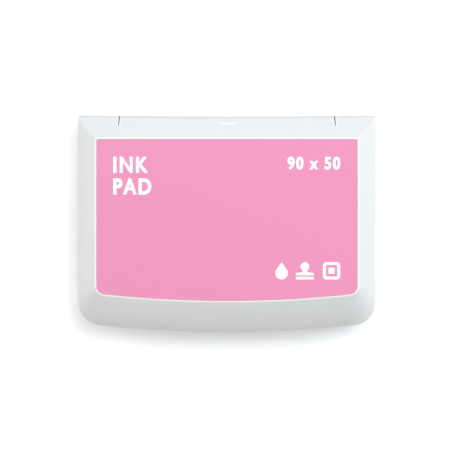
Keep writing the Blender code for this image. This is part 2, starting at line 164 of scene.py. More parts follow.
class InkPadLabels(bpy.types.PropertyGroup):
    """The printed label in the lid and the paper one underneath."""

    film: size("Film", "Thickness of the label film", 0.2)
    ink: size("Ink film", "Thickness of the printed ink", 0.012)
    large_letter: size("Large letters", "Height of the two words", 6.5)
    small_letter: size("Small letters", "Height of the size mark", 5.2)
    bolder: size("Bolder", "How far each outline of the large letters is moved out", 0.3)
    first_word: StringProperty(name="First word", description="Upper word on the label", default="INK")
    second_word: StringProperty(name="Second word", description="Lower word on the label", default="PAD")
    size_mark: StringProperty(name="Size mark", description="Size of the ink surface", default="90 x 50")
    film_colour: colour("Film colour", "Colour of the printed film", "#D583A6")
    ink_white: colour("White ink", "Colour of the lettering", "#F4F1F3")
    paper: colour("Paper", "Colour of the paper label", "#E4E3DF")


class InkPadPad(bpy.types.PropertyGroup):
    """The inked felt and its cloth."""

    thread: size("Thread spacing", "Spacing of the threads, drawn coarse enough to show", 0.95)
    crown: size("Crown", "How far the stretched cloth rises to its middle", 0.3)
    cloth_thickness: size("Cloth thickness", "Thickness of the woven cover", 0.4)
    cloth_colour: colour("Inked cloth", "Colour of the cloth, wet with ink", "#D0497F")
    felt_colour: colour("Inked felt", "Colour of the felt, soaked with ink", "#B13C6A")


class InkPadStudio(bpy.types.PropertyGroup):
    """The camera, the floor and the light."""

    distance: size("Camera distance", "Distance of the camera above the lid's edge", 1200.0)
    view_width: size("View width", "Width of what the camera takes in at the lid's edge", 182.2)
    sky: number("Surrounding light", "Strength of the light from all round, where it is brightest", 1.0)
    sky_low: number("Dim side", "Strength of the light from all round, low on the left", 0.29)
    key: number("Key", "Power of the softbox above", 2.9, "POWER")
    rear: number("Rear", "Power of the low strip behind", 1.05, "POWER")
    right: number("Right", "Power of the softbox on the right", 1.5, "POWER")
    right_low: number("Right strip", "Power of the low strip on the right", 1.5, "POWER")
    left: number("Left", "Power of the low strip on the left", 1.8, "POWER")
    floor: colour("Floor", "Colour of the floor", "#FAFAFA")


def settings(name):
    return getattr(bpy.context.scene, "ink_pad_" + name)


# Outlines: each is a ring of points at one height, clockwise as seen from above, from the rear left corner.

LEAST_CORNER = 0.5 * MM
Outline = namedtuple("Outline", "half rear front corner rear_corner bow")


def case_outline():
    case = settings("case")
    return Outline(LID_HIGH.x, LID_HIGH.y, LID_LOW.y, case.corner, case.rear_corner, case.rear_bow)


def inset(outline, side, rear=None, front=None, corner=None):
    """The outline drawn in by these amounts, with a corner radius of its own."""
    rear = side if rear is None else rear
    front = side if front is None else front
    return outline._replace(
        half=outline.half - side,
        rear=outline.rear - rear,
        front=outline.front + front,
        corner=max(outline.corner - side if corner is None else corner, LEAST_CORNER),
    )


def arc_points(centre, radius, start, end, steps=24):
    """Points (x, y) round a circle, from one angle to another in degrees."""
    points = []
    for step in range(steps + 1):
        angle = math.radians(start + (end - start) * step / steps)
        points.append((centre[0] + radius * math.cos(angle), centre[1] + radius * math.sin(angle)))
    return points


def case_ring(outline, z):
    """A bowed rear edge, straight sides, round corners and an arc along the front."""
    arc = settings("case").front_arc
    half, radius, small = outline.half, outline.corner, outline.rear_corner
    arc_centre = outline.front + arc
    corner_x = half - radius
    reach = arc - radius
    corner_y = arc_centre - math.sqrt(reach**2 - corner_x**2)
    lean = math.degrees(math.asin(corner_x / reach))

    rear = []
    for step in range(REAR_STEPS + 1):
        x = (half - small) * (2 * step / REAR_STEPS - 1)
        rear.append((x, outline.rear - outline.bow * (1 - (x / half) ** 2)))
    right = arc_points((half - small, rear[-1][1] - small), small, 90, 0, REAR_CORNER_STEPS)[1:]
    right += arc_points((corner_x, corner_y), radius, 0, lean - 90, CORNER_STEPS)
    front = arc_points((0.0, arc_centre), arc, lean - 90, -lean - 90, FRONT_STEPS)[1:-1]
    left = [(-x, y) for x, y in reversed(right)]
    return [Vector((x, y, z)) for x, y in rear + right + front + left]


def case_ring_in(outline, drawn_in, z):
    return case_ring(inset(outline, drawn_in), z)


def rounded_rectangle(half_x, half_y, radius, z, centre_y=PAD_Y):
    points = []
    for start, right, back in ((90, 1, 1), (0, 1, -1), (-90, -1, -1), (-180, -1, 1)):
        centre = (right * (half_x - radius), centre_y + back * (half_y - radius))
        points += arc_points(centre, radius, start, start - 90, CORNER_STEPS)
    return [Vector((x, y, z)) for x, y in points]


def rectangle_in(half_x, half_y, radius, drawn_in, z):
    return rounded_rectangle(half_x - drawn_in, half_y - drawn_in, radius - drawn_in, z)


def filleted(ring_at, drawn_in, z, radius, inwards=1, above=-1, steps=4):
    """Rings over an edge's fillet, from its upright side, drawn in by this much, to its level side at z.

    ring_at(drawn_in, z) makes one ring. The fillet lies below z, or above it where above is 1.
    """
    rings = []
    for step in range(steps + 1):
        angle = math.pi / 2 * step / steps
        way, rise = radius * (1 - math.cos(angle)), radius * (1 - math.sin(angle))
        rings.append(ring_at(drawn_in + inwards * way, z + above * rise))
    return rings


# Meshes.


def put(name, data):
    """An object of this data, in the scene."""
    thing = bpy.data.objects.new(name, data)
    bpy.context.scene.collection.objects.link(thing)
    return thing


def new_object(bm, name):
    mesh = bpy.data.meshes.new(name)
    bm.to_mesh(mesh)
    bm.free()
    return put(name, mesh)


def add_loft(bm, rings, capped=True):
    """A closed surface through rings of equal count. Its ends are capped, or else it closes on itself."""
    loops = [[bm.verts.new(point) for point in ring] for ring in rings]
    pairs = list(zip(loops, loops[1:]))
    if not capped:
        pairs.append((loops[-1], loops[0]))
    count = len(loops[0])
    for lower, upper in pairs:
        for index in range(count):
            after = (index + 1) % count
            bm.faces.new((upper[index], upper[after], lower[after], lower[index]))
    if capped:
        bm.faces.new(loops[0])
        bm.faces.new(reversed(loops[-1]))


def loft(name, rings, capped=True):
    bm = bmesh.new()
    add_loft(bm, rings, capped)
    return new_object(bm, name)


def box(name, low, high):
    bm = bmesh.new()
    low, high = Vector(low), Vector(high)
    place = Matrix.Translation((low + high) / 2) @ Matrix.Diagonal((*(high - low), 1.0))
    bmesh.ops.create_cube(bm, size=1.0, matrix=place)
    return new_object(bm, name)


def rods(name, places, radius, axis="Z"):
    """Round bars, each between two points along one axis, in one mesh."""
    bm = bmesh.new()
    for start, end in places:
        start, end = Vector(start), Vector(end)
        turn = Matrix.Rotation(math.pi / 2, 4, "Y") if axis == "X" else Matrix.Identity(4)
        bmesh.ops.create_cone(
            bm,
            cap_ends=True,
            segments=ROUND_SIDES,
            radius1=radius,
            radius2=radius,
            depth=(end - start).length,
            matrix=Matrix.Translation((start + end) / 2) @ turn,
        )
    return new_object(bm, name)


def plate_across_x(name, outline, x_from, x_to):
    """A flat plate of this (y, z) outline, from one x to the other."""
    bm = bmesh.new()
    face = bm.faces.new([bm.verts.new((x_from, y, z)) for y, z in outline])
    moved = bmesh.ops.extrude_face_region(bm, geom=[face])["geom"]
    corners = [item for item in moved if isinstance(item, bmesh.types.BMVert)]
    bmesh.ops.translate(bm, verts=corners, vec=(x_to - x_from, 0.0, 0.0))
    bmesh.ops.recalc_face_normals(bm, faces=bm.faces)
    return new_object(bm, name)


def soften(piece, width):
    """Rounds the sharp edges of a piece, before it is joined to another."""
    bevel = piece.modifiers.new("Edges", "BEVEL")
    bevel.width = width
    bevel.segments = 3
    bevel.limit_method = "ANGLE"
    bevel.angle_limit = math.radians(35.0)
    return piece


JOIN, CUT = "UNION", "DIFFERENCE"


def shaped(piece, tools=()):
    """Joins or cuts each (tool, operation), and leaves the piece a plain mesh."""
    for tool, operation in tools:
        boolean = piece.modifiers.new(tool.name, "BOOLEAN")
        boolean.operation = operation
        boolean.solver = "EXACT"
        boolean.object = tool
    bpy.context.view_layer.update()
    seen = piece.evaluated_get(bpy.context.evaluated_depsgraph_get())
    mesh = bpy.data.meshes.new_from_object(seen)
    piece.modifiers.clear()
    piece.data = mesh
    for tool, _ in tools:
        bpy.data.objects.remove(tool)
    return piece


def dress(piece, material, body, nodes=(), sharp=40.0):
    """Gives a piece its shading, material and body, and hides the CAD parts that it stands for."""
    piece.data.materials.clear()
    piece.data.materials.append(material)
    piece.data.shade_smooth()
    piece.data.set_sharp_from_angle(angle=math.radians(sharp))
    normals = piece.modifiers.new("Weighted normals", "WEIGHTED_NORMAL")
    normals.keep_sharp = True
    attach(piece, body)
    if nodes:
        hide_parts(*nodes)


# Materials.


COLOURS = {"output": 2, "data_type": "RGBA"}  # what makes a Mix node one of colours, in sockets 6 and 7


def add_node(tree, kind, inputs=(), output=0, **values):
    """Adds a node with its settings and inputs. Returns one of its outputs."""
    node = tree.nodes.new("ShaderNode" + kind)
    for name, value in values.items():
        setattr(node, name, value)
    feed(tree, node, inputs)
    return node.outputs[output]


def feed(tree, node, inputs):
    """Sets a node's inputs to values, or links them to sockets. They go by name or number, or in order."""
    for socket, value in inputs.items() if isinstance(inputs, dict) else enumerate(inputs):
        if isinstance(value, bpy.types.NodeSocket):
            tree.links.new(value, node.inputs[socket])
        else:
            node.inputs[socket].default_value = value


def times(base, factor):
    return (*[min(1.0, part * factor) for part in base], 1.0)


def moulded_abs(shade, add, place, base, roughness, relief):
    """ABS from a spark-eroded mould: an even fine grain that spreads every highlight, faint clouds where
    the melt cooled, edges worn smooth and made lighter by a painted highlight, most near the lid's top,
    and painted shade with a little dust in the inner corners, the slits and the grooves.

    The real grain is about 0.05 mm across, and is drawn at the size in the settings so that it shows.
    """
    case = settings("case")
    grain = add("TexNoise", {"Vector": place, "Scale": 1 / case.grain, "Detail": 4.0, "Roughness": 0.6})
    cloud = add("TexNoise", {"Vector": place, "Scale": 1 / (26 * MM)})
    # Convex edges: they get a painted highlight in the colour, and a lower roughness for real wear.
    thin = add("AmbientOcclusion", {"Distance": 0.7 * MM}, "AO", inside=True, only_local=True, samples=8)
    edge = add("MapRange", [thin, 0.97, 0.72])
    height = add("SeparateXYZ", [place], 2)
    # The painted highlight on the edges grows towards the lid's top.
    toward_top = add("MapRange", [height, case.skirt_top, LID_HIGH.z, 0.25, 1.0])
    # Painted shade with a little dust: where occlusion finds a nook, crack or slit, the colour is darkened
    # towards a quarter of the plastic's.
    nook = add("AmbientOcclusion", {"Distance": 1.2 * MM}, "AO", only_local=True, samples=8)
    dust_and_shade = add("Math", [add("MapRange", [nook, 0.7, 0.25]), 0.9], operation="MULTIPLY")
    wear_and_highlight = add("Math", [edge, toward_top], operation="MULTIPLY")

    tone = add("Mix", {0: cloud, 6: times(base, 0.975), 7: times(base, 1.015)}, **COLOURS)
    speckle = add("MapRange", [grain, 0.35, 0.65, 0.98, 1.004])
    speckles = add("CombineColor", [speckle, speckle, speckle])
    grained = add("Mix", {0: 1.0, 6: tone, 7: speckles}, blend_type="MULTIPLY", **COLOURS)
    # Mixes in the painted shade of the nooks, cracks and slits.
    in_dust_and_shade = add("Mix", {0: dust_and_shade, 6: grained, 7: times(base, 0.25)}, **COLOURS)
    # Painted highlight: convex edges are lightened towards half as bright again as the plastic.
    rubbed_and_highlit = add("Mix", {0: wear_and_highlight, 6: in_dust_and_shade, 7: times(base, 1.5)}, **COLOURS)
    gloss = add("MapRange", [grain, 0.3, 0.7, roughness - 0.05, roughness + 0.07])
    smoother = add("Math", [edge, 0.12], operation="MULTIPLY")
    worn_gloss = add("Math", [gloss, smoother], operation="SUBTRACT")
    bump = add("Bump", {"Height": grain, "Strength": relief, "Distance": 0.05 * MM})
    shade({"Base Color": rubbed_and_highlit, "Roughness": worn_gloss, "Normal": bump, "IOR": 1.53})


def printed_polypropylene(shade, add, place, base):
    """Polypropylene film, screen printed in one colour: flat and even, with a faint orange peel, and pale
    along its cut edge where the white film shows."""
    lay = add("TexNoise", {"Vector": place, "Scale": 1 / (34 * MM)})
    peel = add("TexNoise", {"Vector": place, "Scale": 1 / (1.4 * MM)})
    tone = add("Mix", {0: lay, 6: times(base, 0.992), 7: times(base, 1.006)}, **COLOURS)
    facing_up = add("SeparateXYZ", [add("NewGeometry", output="True Normal")], 2)
    cut = add("MapRange", [add("Math", [facing_up], operation="ABSOLUTE"), 0.95, 0.6])
    pale = add("Math", [cut, 0.7], operation="MULTIPLY")
    edged = add("Mix", {0: pale, 6: tone, 7: (0.9, 0.82, 0.86, 1.0)}, **COLOURS)
    bump = add("Bump", {"Height": peel, "Strength": 0.12, "Distance": 0.02 * MM})
    gloss = add("MapRange", [peel, 0.3, 0.7, 0.42, 0.5])
    shade({"Base Color": edged, "Roughness": gloss, "Normal": bump})
    shade({"IOR": 1.49, "Specular IOR Level": 0.35})


def screen_ink(shade, add, place, base):
    """Screen printed ink: opaque, matt, with the faint thin spots that the mesh leaves. The mesh's 0.1 mm
    pitch is drawn at 0.6 mm so that it shows."""
    thin = add("TexNoise", {"Vector": place, "Scale": 1 / (0.6 * MM), "Detail": 3.0})
    cover = add("MapRange", [thin, 0.35, 0.6])
    tone = add("Mix", {0: cover, 6: times(base, 0.96), 7: times(base, 1.0)}, **COLOURS)
    bump = add("Bump", {"Height": thin, "Strength": 0.1, "Distance": 0.02 * MM})
    gloss = add("MapRange", [thin, 0.3, 0.7, 0.5, 0.62])
    shade({"Base Color": tone, "Roughness": gloss, "Normal": bump, "IOR": 1.5})


def coated_paper(shade, add, place, base):
    """Clay-coated label paper: smooth to the touch, with fibres that show only as soft clouds."""
    clouds = add("TexNoise", {"Vector": place, "Scale": 1 / (4.5 * MM), "Detail": 5.0, "Roughness": 0.6})
    fibres = add("TexNoise", {"Vector": place, "Scale": 1 / (0.7 * MM), "Detail": 5.0, "Roughness": 0.7})
    tone = add("Mix", {0: clouds, 6: times(base, 0.965), 7: times(base, 1.02)}, **COLOURS)
    bump = add("Bump", {"Height": fibres, "Strength": 0.25, "Distance": 0.03 * MM})
    gloss = add("MapRange", [clouds, 0.3, 0.7, 0.5, 0.64])
    shade({"Base Color": tone, "Roughness": gloss, "Normal": bump, "IOR": 1.5})


def inked_poplin(shade, add, place, base, thread):
    """Plain-woven cotton, wet with ink: threads pass over and under in turn, the hollows between them hold
    dark ink, and it glistens where it is wettest. Its threads are 0.35 mm apart, and are drawn at the
    settings' size so that they show."""
    sway = add("TexNoise", {"Vector": place, "Scale": 1 / (6 * MM)})
    drift = add("Math", [sway, 1.2], operation="MULTIPLY")
    waves = []
    for axis in (0, 1):
        along = add("SeparateXYZ", [place], axis)
        phase = add("Math", [along, math.pi / thread, drift], operation="MULTIPLY_ADD")
        waves.append(add("Math", [phase], operation="COSINE"))
    over = add("Math", waves, operation="MULTIPLY")
    threads = []
    for wave, sign in zip(waves, (0.5, -0.5)):
        lift = add("Math", [over, sign, 0.5], operation="MULTIPLY_ADD")
        rounded = add("Math", [add("Math", [wave], operation="ABSOLUTE"), 0.6], operation="POWER")
        threads.append(add("Math", [rounded, lift], operation="MULTIPLY"))
    weave = add("Math", threads, operation="MAXIMUM")
    fibres = add("TexNoise", {"Vector": place, "Scale": 1 / (0.3 * MM), "Detail": 3.0})
    height = add("Math", [fibres, 0.25, weave], operation="MULTIPLY_ADD")
    wet = add("TexNoise", {"Vector": place, "Scale": 1 / (13 * MM), "Detail": 3.0})
    pool = add("MapRange", [wet, 0.38, 0.62])
    soaked = add("Mix", {0: pool, 6: times(base, 1.12), 7: times(base, 0.8)}, **COLOURS)
    raised = add("MapRange", [weave, 0.2, 0.85])
    tone = add("Mix", {0: raised, 6: times(base, 0.5), 7: soaked}, **COLOURS)
    gloss = add("MapRange", [pool, 0.0, 1.0, 0.66, 0.4])
    bump = add("Bump", {"Height": height, "Strength": 0.7, "Distance": 0.22 * MM})
    shade({"Base Color": tone, "Roughness": gloss, "Normal": bump, "IOR": 1.45})
    shade({"Sheen Weight": 0.15, "Sheen Roughness": 0.5})


def inked_felt(shade, add, place, base):
    """Pressed wool felt, soaked with ink: a mat of short fibres, darker where it has taken up more."""
    fibres = add("TexNoise", {"Vector": place, "Scale": 1 / (0.5 * MM), "Detail": 6.0, "Roughness": 0.75})
    clumps = add("TexNoise", {"Vector": place, "Scale": 1 / (3 * MM), "Detail": 3.0})
    tone = add("Mix", {0: clumps, 6: times(base, 0.7), 7: times(base, 1.2)}, **COLOURS)
    tufts = add("MapRange", [fibres, 0.35, 0.65])
    tufted = add("Mix", {0: tufts, 6: times(base, 0.6), 7: tone}, **COLOURS)
    bump = add("Bump", {"Height": fibres, "Strength": 0.8, "Distance": 0.3 * MM})
    shade({"Base Color": tufted, "Normal": bump, "IOR": 1.45})
    shade({"Roughness": 0.85, "Sheen Weight": 0.3, "Sheen Roughness": 0.6})


def painted_board(shade, add, place, base):
    """Matt white paint on a board, rolled: nearly even, with a soft stipple."""
    stipple = add("TexNoise", {"Vector": place, "Scale": 1 / (5 * MM), "Detail": 3.0})
    tone = add("Mix", {0: stipple, 6: times(base, 0.995), 7: times(base, 1.005)}, **COLOURS)
    bump = add("Bump", {"Height": stipple, "Strength": 0.05, "Distance": 0.1 * MM})
    shade({"Base Color": tone, "Normal": bump, "Roughness": 0.9, "Specular IOR Level": 0.1})


def finish_called(name, maker, *details):
    """The finish of this name, made the first time that a piece needs it. Its maker gets the function that
    sets the shader, the one that adds a node, and the place on the object."""
    material = bpy.data.materials.get(name)
    if not material:
        material = bpy.data.materials.new(name)
        material.use_nodes = True
        tree = material.node_tree
        add = partial(add_node, tree)
        shade = partial(feed, tree, tree.nodes["Principled BSDF"])
        maker(shade, add, add("TexCoord", output="Object"), *details)
    return material


def case_plastic():
    return finish_called("white_moulded_abs", moulded_abs, settings("case").white, 0.46, 0.35)


def inner_plastic():
    return finish_called("satin_moulded_abs", moulded_abs, settings("case").inner_white, 0.38, 0.2)


# The lid.


def facet_outline(share, wall=0.0):
    """The lid's outline this far down its facets: 0 at the top's rim, 1 at the skirt. With a wall it is the
    hollow's. The rear facet ends at its ledge, and the others roll over into the skirt by themselves."""
    case = settings("case")
    up = 1 - share
    rear = case.ledge + (case.rear_facet - case.ledge) * up
    side = case.side_facet * up**case.side_bulge + wall
    front = case.front_facet * up**case.front_bulge + wall
    swell = 4 * share * up * case.corner_swell
    corner = case.top_corner + (case.corner - case.top_corner) * share + swell - wall
    outline = inset(case_outline(), side, rear + wall, front, corner)
    small = LEAST_CORNER if wall else LEAST_CORNER + (case.rear_corner - LEAST_CORNER) * share
    return outline._replace(bow=case.rear_bow * share, rear_corner=small)


def facet_z(share, wall=0.0):
    """The height there. A hollow's is half a wall lower: with a whole wall sideways, that leaves about one
    wall square to the slope."""
    return LID_HIGH.z - (LID_HIGH.z - settings("case").skirt_top) * share - wall / 2


def label_outline(clearance):
    case = settings("case")
    return inset(facet_outline(0.0), case.rim + clearance)._replace(bow=0.0, rear_corner=0.8 * MM)


def ceiling_z():
    """The underside of the lid's top, one wall below the floor of the CAD's label recess."""
    return LABEL_LOW.z - GAP - settings("case").wall


def lid_rings():
    """From the hollow's ceiling down to the foot, and outside up again to the floor of the label's recess,
    whose lip is undercut a little."""
    case = settings("case")
    wall, foot, ceiling = case.wall, LID_LOW.z, ceiling_z()
    foot_edge, lip, ledge_edge = 0.25 * MM, 0.08 * MM, 0.15 * MM
    top_share = (LID_HIGH.z - wall / 2 - ceiling) / (LID_HIGH.z - case.skirt_top)
    ups = [(step / FACET_STEPS) ** 1.5 for step in range(FACET_STEPS + 1)]

    top = facet_outline(top_share, wall)
    rings = [case_ring_in(top, 0.6 * MM, ceiling), case_ring_in(top, 0.15 * MM, ceiling - 0.04 * MM)]
    for up in reversed(ups[:-1]):
        share = 1 - up * (1 - top_share)
        rings.append(case_ring(facet_outline(share, wall), facet_z(share, wall)))
    rings += filleted(partial(case_ring_in, facet_outline(1.0, wall)), 0.0, foot, foot_edge, -1, 1)
    skirt = facet_outline(1.0)
    skirt = skirt._replace(rear=skirt.rear + case.ledge)
    rings += reversed(filleted(partial(case_ring_in, skirt), 0.0, foot, foot_edge, 1, 1))
    rings.append(case_ring(skirt, (foot + case.skirt_top) / 2))
    rings.append(case_ring(skirt, case.skirt_top - ledge_edge))
    rings.append(case_ring(inset(skirt, 0.01 * MM, 0.12 * MM), case.skirt_top - 0.02 * MM))
    rings.append(case_ring(inset(skirt, 0.02 * MM, case.ledge), case.skirt_top))
    for up in ups[1:-1]:
        rings.append(case_ring(facet_outline(1 - up), facet_z(1 - up)))

    rim, opening = facet_outline(0.0), label_outline(0.0)
    rings.append(case_ring(rim, LID_HIGH.z - 0.03 * MM))
    rings.append(case_ring_in(rim, 0.15 * MM, LID_HIGH.z))
    rings += reversed(filleted(partial(case_ring_in, opening), -lip, LID_HIGH.z, lip, steps=3))
    rings.append(case_ring(opening, label_floor()))
    return rings


def seal_rib():
    """The rib inside the lid that closes around the pad."""
    half_x, half_y, corner = 49.5 * MM, 28.6 * MM, 3.0 * MM
    width, height, root, edge = 1.0 * MM, 3.4 * MM, 0.4 * MM, 0.3 * MM
    ring_at = partial(rectangle_in, half_x, half_y, corner)
    foot, top = ceiling_z() - height, ceiling_z() + root
    rings = filleted(ring_at, 0.0, foot, edge, 1, 1)[::-1]
    rings += [ring_at(0.0, top), ring_at(width, top)]
    rings += filleted(ring_at, width, foot, edge, -1, 1)
    return loft("seal_rib", rings, capped=False)


def hinge_ear(sign):
    """A plate under the lid's rear facet that reaches down around the hinge pin."""
    case = settings("case")
    slope = (LID_HIGH.z - case.skirt_top) / case.rear_facet
    chamfer = 1.2 * MM
    front_y = HINGE.y - 2 * chamfer
    rear_y = LID_HIGH.y - case.wall / 2
    foot = LID_LOW.z + 0.1 * MM
    outline = [
        (front_y, foot + chamfer),
        (front_y + chamfer, foot),
        (rear_y - chamfer, foot),
        (rear_y, foot + chamfer),
        (rear_y, case.skirt_top - case.wall / 4),
        (front_y, case.skirt_top + (LID_HIGH.y - front_y) * slope - case.wall / 2),
    ]
    ear = plate_across_x("ear", outline, *[sign * x for x in EAR_X])
    return shaped(soften(ear, 0.15 * MM))


def hinge_rods(name, x_range, radius):
    """A rod along the hinge's axis on each side."""
    places = [[(sign * x, *HINGE.yz) for x in x_range] for sign in SIDES]
    return rods(name, places, radius, "X")


def catch_strip(name, y, z):
    """A strip along X at the middle of the front, which stands proud of the wall at this y."""
    half_length, proud, height = 6.0 * MM, 0.12 * MM, 0.5 * MM
    return box(name, (-half_length, y - proud, z), (half_length, y + proud, z + height))


def facet_slope():
    case = settings("case")
    return math.atan2(LID_HIGH.z - case.skirt_top, case.rear_facet - case.ledge)


def slit(sign):
    """The narrow slit beside a hinge, which lets the lid's corner spring over the pin. Thin webs are left
    under it and at its rear end, so that it stays dark."""
    case = settings("case")
    half, web, lean = case.slit_width / 2, 0.3 * MM, math.radians(5.0)
    slope = facet_slope()
    run = (case.slit_length - case.ledge) / math.cos(slope)
    rear = (case.ledge - 0.2 * MM) / math.cos(slope)
    tool = box("slit", (-half, -run, web - case.wall), (half, rear, 2 * MM))
    place = Matrix.Translation((sign * case.slit_x, LID_HIGH.y, 0.0)) @ Matrix.Rotation(sign * lean, 4, "Z")
    on_slope = Matrix.Translation((0.0, -case.ledge, case.skirt_top)) @ Matrix.Rotation(-slope, 4, "X")
    tool.matrix_world = place @ on_slope
    return tool


def rear_groove():
    """The shallow groove along the ledge, where the two halves of the mould met."""
    case = settings("case")
    from_edge, width, deep = 0.34 * MM, 0.44 * MM, 0.14 * MM
    rings = []
    for step in range(REAR_STEPS + 1):
        share = 2 * step / REAR_STEPS - 1
        y = LID_HIGH.y - case.rear_bow * (1 - share**2) - from_edge
        corners = ((-width / 2, -deep), (width / 2, -deep), (width / 2, MM), (-width / 2, MM))
        x = share * (LID_HIGH.x + MM)
        rings.append([Vector((x, y + dy, case.skirt_top + dz)) for dy, dz in corners])
    bm = bmesh.new()
    add_loft(bm, rings)
    bmesh.ops.recalc_face_normals(bm, faces=bm.faces)
    return new_object(bm, "rear_groove")


def raised_bar():
    """A low rounded bar along X on the rear facet, where a thumb steadies the lid."""
    case = settings("case")
    slope = facet_slope()
    from_rear = 3.0 * MM
    bm = bmesh.new()
    bmesh.ops.create_uvsphere(bm, u_segments=64, v_segments=32, radius=1.0)
    for vert in bm.verts:
        x, y, z = vert.co
        blunt = math.copysign(abs(x) ** 0.4, x)
        vert.co = (blunt * case.bar_length / 2, y * case.bar_width / 2, z * 0.5 * MM)
    bar = new_object(bm, "thumb_bar")
    up = (from_rear - case.ledge) * math.tan(slope)
    place = (0.0, LID_HIGH.y - case.rear_bow - from_rear, case.skirt_top + up)
    bar.data.transform(Matrix.Translation(place) @ Matrix.Rotation(-slope, 4, "X"))
    return bar


def lid_tools():
    """Each (tool, operation) that finishes the lid's moulding."""
    bead = catch_strip("bead", LID_LOW.y + settings("case").wall, LID_LOW.z + 0.12 * MM)
    tools = [(seal_rib(), JOIN), (bead, JOIN)]
    tools += [(hinge_ear(sign), JOIN) for sign in SIDES]
    tools.append((hinge_rods("bores", BORE_X, BORE_RADIUS), CUT))
    front, clear = 1.2 * MM, 0.1 * MM
    for sign in SIDES:
        near, far = sorted(sign * x for x in NOTCH_X)
        low = (near, HINGE.y + front, LID_LOW.z - MM)
        high = (far, LID_HIGH.y + MM, HINGE.z + LUG_RADIUS + clear)
        tools += [(box("notch", low, high), CUT), (slit(sign), CUT)]
    tools.append((rear_groove(), CUT))
    marks, radius, deep = [], 2.6 * MM, 0.12 * MM
    for x in (-40 * MM, 0.0, 40 * MM):
        for y in (PAD_Y - 20 * MM, PAD_Y + 20 * MM):
            marks.append(((x, y, ceiling_z() - 0.1 * MM), (x, y, ceiling_z() + deep)))
    tools.append((rods("ejector_marks", marks, radius), CUT))
    return tools


class INKPAD_OT_lid(bpy.types.Operator):
    """Makes the lid's moulding, with its hinge ears, seal rib, slits and catch bead"""

    bl_idname = "ink_pad.make_lid"
    bl_label = "Lid moulding"

    def execute(self, context):
        lid = shaped(loft("lid_moulding", lid_rings()), lid_tools())
        dress(lid, case_plastic(), "lid", ["lid_shell"])
        # The bar's finish is glossier, and lighter as a painted highlight.
        rubbed_and_highlit = finish_called("rubbed_and_highlit_abs", moulded_abs, settings("case").rubbed_and_highlit_white, 0.3, 0.1)
        dress(raised_bar(), rubbed_and_highlit, "lid")
        return {"FINISHED"}


# The label and its print.


def label_floor():
    return LID_HIGH.z - settings("case").recess


def label_top():
    return label_floor() + settings("labels").film


class INKPAD_OT_label(bpy.types.Operator):
    """Makes the printed film that lies in the lid's recess"""

    bl_idname = "ink_pad.make_label"
    bl_label = "Lid label"

    def execute(self, context):
        edge, clearance = 0.05 * MM, 0.08 * MM
        ring_at = partial(case_ring_in, label_outline(clearance))
        rings = [ring_at(0.0, label_floor()), *filleted(ring_at, 0.0, label_top(), edge, steps=2)]
        label = loft("label_film", rings)
        film = finish_called("pink_printed_film", printed_polypropylene, settings("labels").film_colour)
        dress(label, film, "lid", ["lid_label"])
        return {"FINISHED"}


def printed_words(name, words, height, corner, to_left=False):
    """Bold condensed letters on the label, from their upper left corner, or up to their upper right one."""
    text = bpy.data.curves.new(name, "FONT")
    text.body = words
    text.space_character = 1.22
    text.resolution_u = 8
    writing = put(name + "_text", text)
    bpy.context.view_layer.update()
    mesh = bpy.data.meshes.new_from_object(writing.evaluated_get(bpy.context.evaluated_depsgraph_get()))
    bpy.data.objects.remove(writing)
    low = Vector([min(vert.co[axis] for vert in mesh.vertices) for axis in (0, 1, 2)])
    high = Vector([max(vert.co[axis] for vert in mesh.vertices) for axis in (0, 1, 2)])
    bolder = settings("labels").bolder * height / settings("labels").large_letter
    scale = (height - 2 * bolder) / (high.y - low.y)
    narrow = scale * 0.84
    left = corner[0] - (high.x - low.x) * narrow - bolder if to_left else corner[0] + bolder
    for vert in mesh.vertices:
        x = left + (vert.co.x - low.x) * narrow
        y = corner[1] - bolder - (high.y - vert.co.y) * scale
        vert.co = (x, y, label_top())
    bm = bmesh.new()
    bm.from_mesh(mesh)
    bmesh.ops.remove_doubles(bm, verts=bm.verts, dist=0.002 * MM)
    embolden(bm, bolder)
    raise_print(bm, settings("labels").ink)
    return new_object(bm, name)


def embolden(bm, stroke):
    """Moves the outlines of flat letters outwards by this much, and by less where a notch would close."""
    moves = {}
    for edge in bm.edges:
        if len(edge.link_faces) != 1:
            continue
        loop = edge.link_loops[0]
        along = (loop.link_loop_next.vert.co - loop.vert.co).normalized()
        outward = Vector((along.y, -along.x, 0.0)) * (1 if edge.link_faces[0].normal.z > 0 else -1)
        for vert in edge.verts:
            moves.setdefault(vert, []).append(outward)
    for vert, (first, second) in moves.items():
        middle = (first + second).normalized()
        vert.co += middle * stroke * min(1.0 / max(middle.dot(first), 0.1), 1.35)


def raise_print(bm, thickness):
    """Turns flat faces into a closed film of this thickness above them."""
    moved = bmesh.ops.extrude_face_region(bm, geom=list(bm.faces), use_keep_orig=True)["geom"]
    corners = [item for item in moved if isinstance(item, bmesh.types.BMVert)]
    bmesh.ops.translate(bm, verts=corners, vec=(0.0, 0.0, thickness))
    bmesh.ops.recalc_face_normals(bm, faces=bm.faces)


def drop_shape(height):
    """A drop of ink: a round foot, and two straight sides that meet in a point."""
    radius = height * 0.36
    reach = height - radius
    tangent = math.degrees(math.asin(radius / reach))
    return arc_points((0.0, radius), radius, tangent, -180 - tangent) + [(0.0, height)]


def stamp_shape(height):
    """The handle and mount of a hand stamp, from the side."""
    knob = 0.25 * height
    right = [(0.52 * height, 0.24 * height), (0.52 * height, 0.36 * height), (0.14 * height, 0.42 * height)]
    left = [(-x, y) for x, y in reversed(right)]
    return right + arc_points((0.0, height - knob), knob, -60, 240) + left


def bar_shape(width, low, high):
    return [(-width / 2, low), (-width / 2, high), (width / 2, high), (width / 2, low)]


